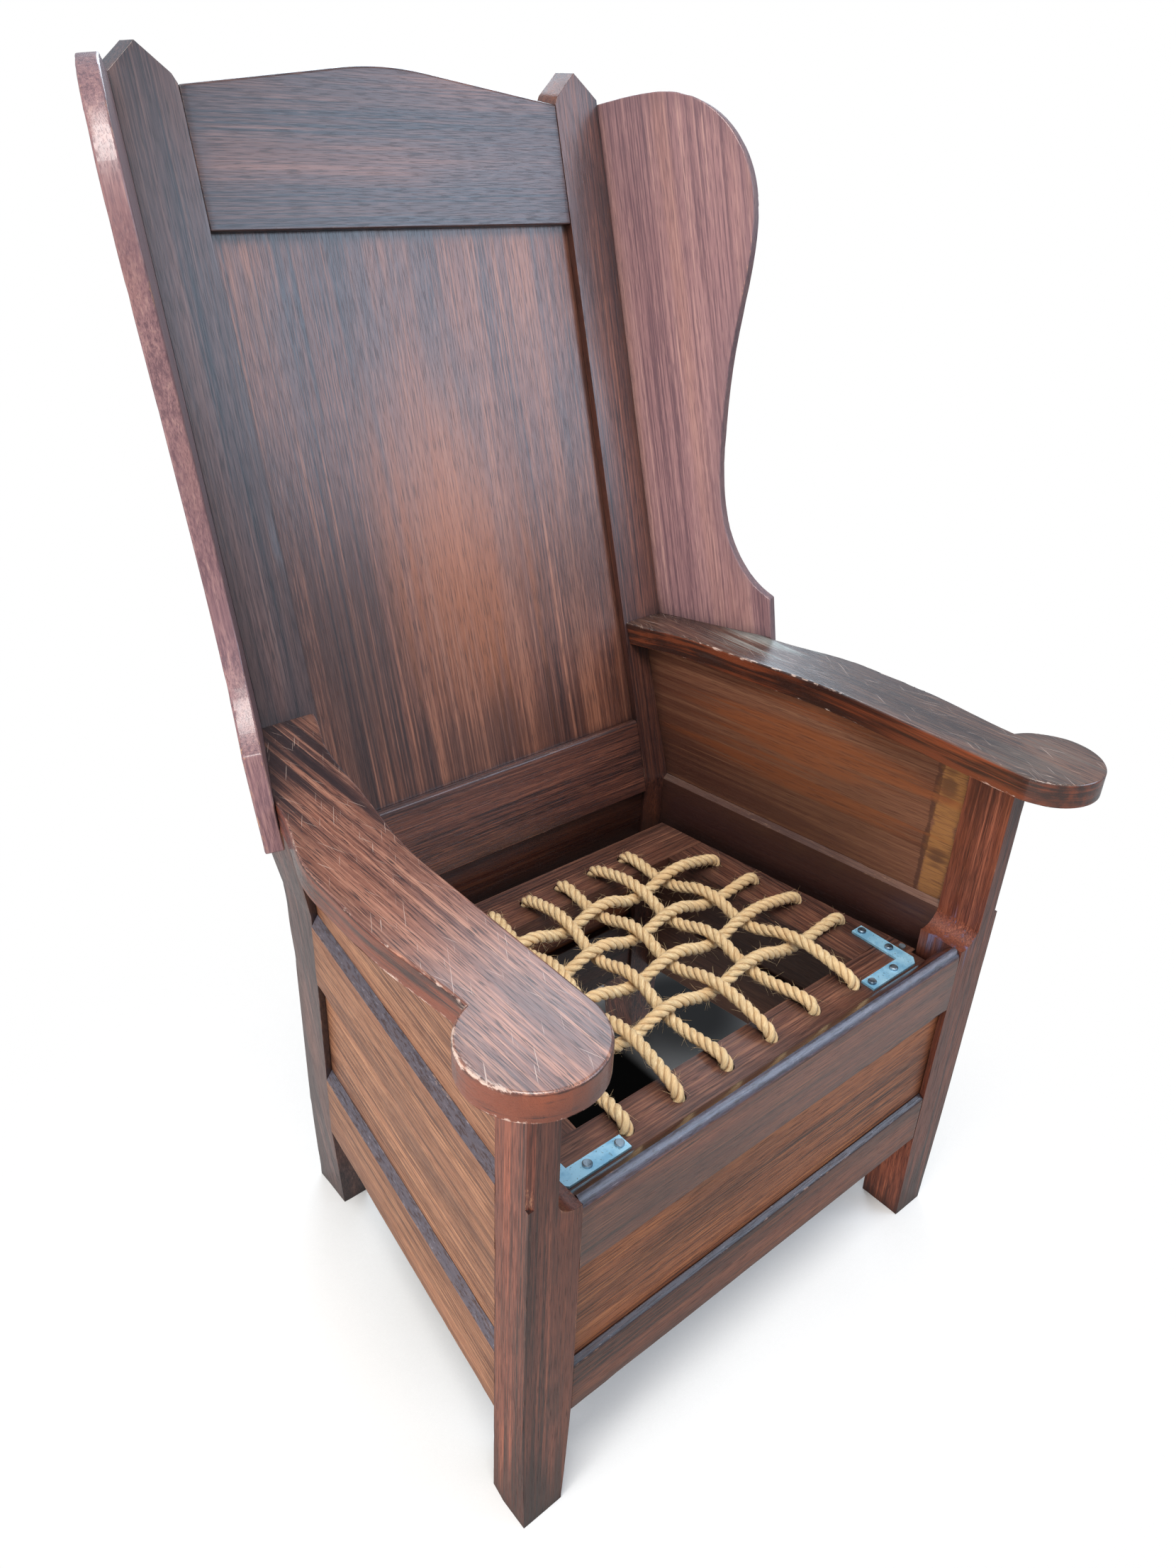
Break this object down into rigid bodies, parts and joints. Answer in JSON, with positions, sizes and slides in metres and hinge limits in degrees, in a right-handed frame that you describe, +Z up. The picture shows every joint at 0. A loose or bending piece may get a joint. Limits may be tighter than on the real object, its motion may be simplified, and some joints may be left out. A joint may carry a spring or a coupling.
{
  "type": "lambing chair",
  "caption": "High-backed wooden lambing chair with panelled box base, flared wings, flat round-ended arms and a rope-strung lift-out seat frame.",
  "frame": {"origin": "on the floor, at the centre of the chair's overall width and depth", "axes": "+X to the right seen from the front, +Y towards the back, +Z up"},
  "size_m": [0.735, 0.7314, 1.168],
  "materials": {
    "posts_wood": "worn satin stain",
    "rails_wood": "worn satin stain",
    "panels_wood": "worn satin stain",
    "back_wood": "worn satin stain",
    "arms_wood": "worn satin stain",
    "wings_wood": "worn satin stain",
    "frame_wood": "worn satin stain",
    "cleats_wood": "worn satin stain",
    "bracket_steel": "zinc plated, dull",
    "screw_steel": "dull",
    "rope": "twisted natural fibre"
  },
  "bodies": {
    "chair": {"front_post_left": "posts_wood", "front_post_right": "posts_wood", "back_post_left": "back_wood", "back_post_right": "back_wood", "back_crest_rail": "back_wood", "back_panel": "back_wood", "back_bottom_rail": "back_wood", "base_back_rail": "rails_wood", "base_back_panel": "panels_wood", "base_back_bottom_rail": "rails_wood", "front_seat_rail": "rails_wood", "front_panel": "panels_wood", "front_bottom_rail": "rails_wood", "side_mid_rail_left": "rails_wood", "side_mid_rail_right": "rails_wood", "side_bottom_rail_left": "rails_wood", "side_bottom_rail_right": "rails_wood", "side_lower_panel_left": "panels_wood", "side_lower_panel_right": "panels_wood", "side_upper_panel_left": "panels_wood", "side_upper_panel_right": "panels_wood", "arm_left": "arms_wood", "arm_right": "arms_wood", "wing_left": "wings_wood", "wing_right": "wings_wood", "seat_cleat_front": "cleats_wood", "seat_cleat_back": "cleats_wood", "seat_cleat_left": "cleats_wood", "seat_cleat_right": "cleats_wood", "cleat_screws": "screw_steel"},
    "seat": {"seat_frame_front": "frame_wood", "seat_frame_back": "frame_wood", "seat_frame_left": "frame_wood", "seat_frame_right": "frame_wood", "seat_bracket_left": "bracket_steel", "seat_bracket_right": "bracket_steel", "bracket_screws_left": "screw_steel", "bracket_screws_right": "screw_steel", "frame_screws": "screw_steel", "seat_rope_lengthwise": "rope", "seat_rope_crosswise": "rope", "seat_rope_lengthwise_knots": "rope", "seat_rope_crosswise_knots": "rope"}
  },
  "joints": [
    {"name": "seat_lift", "type": "slide", "parent": "chair", "child": "seat", "axis": [0, 0, 1], "range_m": [0, 0.16]}
  ]
}
